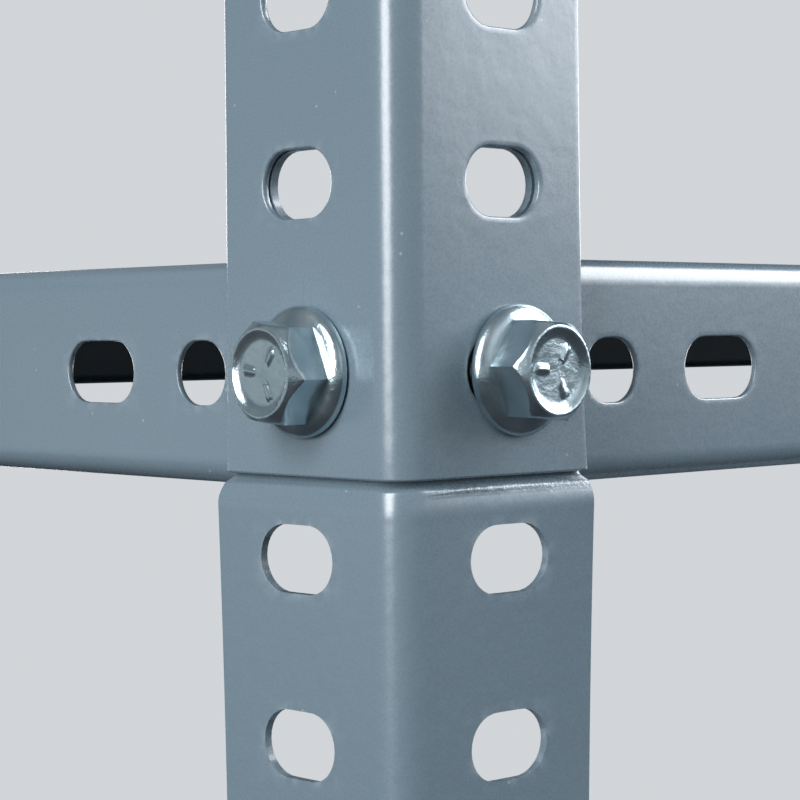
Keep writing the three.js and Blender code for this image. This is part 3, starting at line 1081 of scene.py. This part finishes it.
def make_world():
    """A soft sky, brighter on the key side. The camera sees the plain backdrop instead."""
    world = bpy.data.worlds.new("studio")
    bpy.context.scene.world = world
    world.use_nodes = True
    nodes, links = world.node_tree.nodes, world.node_tree.links
    coords = nodes.new("ShaderNodeTexCoord")
    split = nodes.new("ShaderNodeSeparateXYZ")
    links.new(coords.outputs["Generated"], split.inputs["Vector"])
    towards = nodes.new("ShaderNodeVectorMath")
    towards.operation = "DOT_PRODUCT"
    links.new(coords.outputs["Generated"], towards.inputs[0])
    towards.inputs[1].default_value = KEY_WAY
    height = mapped(nodes, links, split.outputs["Z"], -1, 1, 0, 1)
    key_side = ramp(nodes, links, height, (
        (0.0, (0.05, 0.05, 0.06)), (0.45, (0.05, 0.06, 0.07)), (0.54, (0.50, 0.54, 0.58)),
        (0.65, (0.80, 0.85, 0.90)), (1.0, (0.45, 0.48, 0.52))))
    far_side = ramp(nodes, links, height, (
        (0.0, (0.03, 0.03, 0.04)), (0.40, (0.06, 0.07, 0.08)), (0.47, (0.55, 0.60, 0.63)),
        (0.51, (0.36, 0.39, 0.42)), (0.58, (0.16, 0.18, 0.20)), (1.0, (0.22, 0.24, 0.26))))
    sweep = mapped(nodes, links, towards.outputs["Value"], 0.2, 0.9, 0, 1)
    sky = mixed(nodes, links, sweep, far_side, key_side)
    path = nodes.new("ShaderNodeLightPath")
    colour = mixed(nodes, links, path.outputs["Is Camera Ray"], sky, BACKDROP)
    links.new(colour, nodes["Background"].inputs["Color"])
    nodes["Background"].inputs["Strength"].default_value = 1.0


def softbox(name, place, aim, size, power, tint):
    light = bpy.data.lights.new(name, "AREA")
    light.shape = "RECTANGLE"
    light.size, light.size_y = size
    light.energy = power
    light.color = tint
    lamp = bpy.data.objects.new(name, light)
    bpy.context.scene.collection.objects.link(lamp)
    lamp.location = place
    lamp.rotation_euler = (Vector(aim) - Vector(place)).to_track_quat("-Z", "Y").to_euler()
    lamp.visible_camera = False


def round_corner(azimuth, elevation, distance):
    """A place seen from the front left splice: azimuth from +X towards +Y, in degrees."""
    turn, tilt = math.radians(azimuth), math.radians(elevation)
    flat = distance * math.cos(tilt)
    away = Vector((flat * math.cos(turn), flat * math.sin(turn), distance * math.sin(tilt)))
    return Vector((WEST, SOUTH, SPLICE_Z)) + away


def make_lights():
    corner = Vector((WEST, SOUTH, SPLICE_Z))
    middle = Vector((0, 0, SPLICE_Z))
    softbox("key_softbox", round_corner(*KEY_PLACE), corner, (1.4, 1.7), 60, KEY_TINT)
    softbox("side_softbox", round_corner(*SIDE_PLACE), corner, (0.85, 1.75), 56, SIDE_TINT)
    softbox("right_softbox", RIGHT_PLACE, middle, (1.8, 1.5), 42, WHITE)
    softbox("back_softbox", BACK_PLACE, middle, (2.4, 1.5), 48, WHITE)


# ---------------------------------------------------------------- camera

def make_camera():
    """Close to the front left splice, a little above the bolts."""
    level = Vector((math.cos(CAMERA_YAW), math.sin(CAMERA_YAW), 0)) * math.cos(CAMERA_PITCH)
    ahead = level - Vector((0, 0, math.sin(CAMERA_PITCH)))
    flat = Vector((math.sin(CAMERA_YAW), -math.cos(CAMERA_YAW), 0))
    upright = flat.cross(ahead)
    right = flat * math.cos(CAMERA_ROLL) + upright * math.sin(CAMERA_ROLL)
    above = upright * math.cos(CAMERA_ROLL) - flat * math.sin(CAMERA_ROLL)
    data = bpy.data.cameras.new("camera")
    data.sensor_width = 36
    data.lens = CAMERA_LENS
    data.clip_start = 0.01
    data.clip_end = 60
    camera = bpy.data.objects.new("camera", data)
    bpy.context.scene.collection.objects.link(camera)
    place = Vector((WEST, SOUTH, SPLICE_Z)) + CAMERA_PLACE
    turn = Matrix((right, above, -ahead)).transposed().to_4x4()
    camera.matrix_world = Matrix.Translation(place) @ turn
    bpy.context.scene.camera = camera


bpy.context.scene.view_settings.view_transform = "Standard"
make_camera()
make_world()
make_lights()
make_floor()
make_posts()
make_beams()
make_decks()
make_ribs()
make_fasteners()
make_feet()
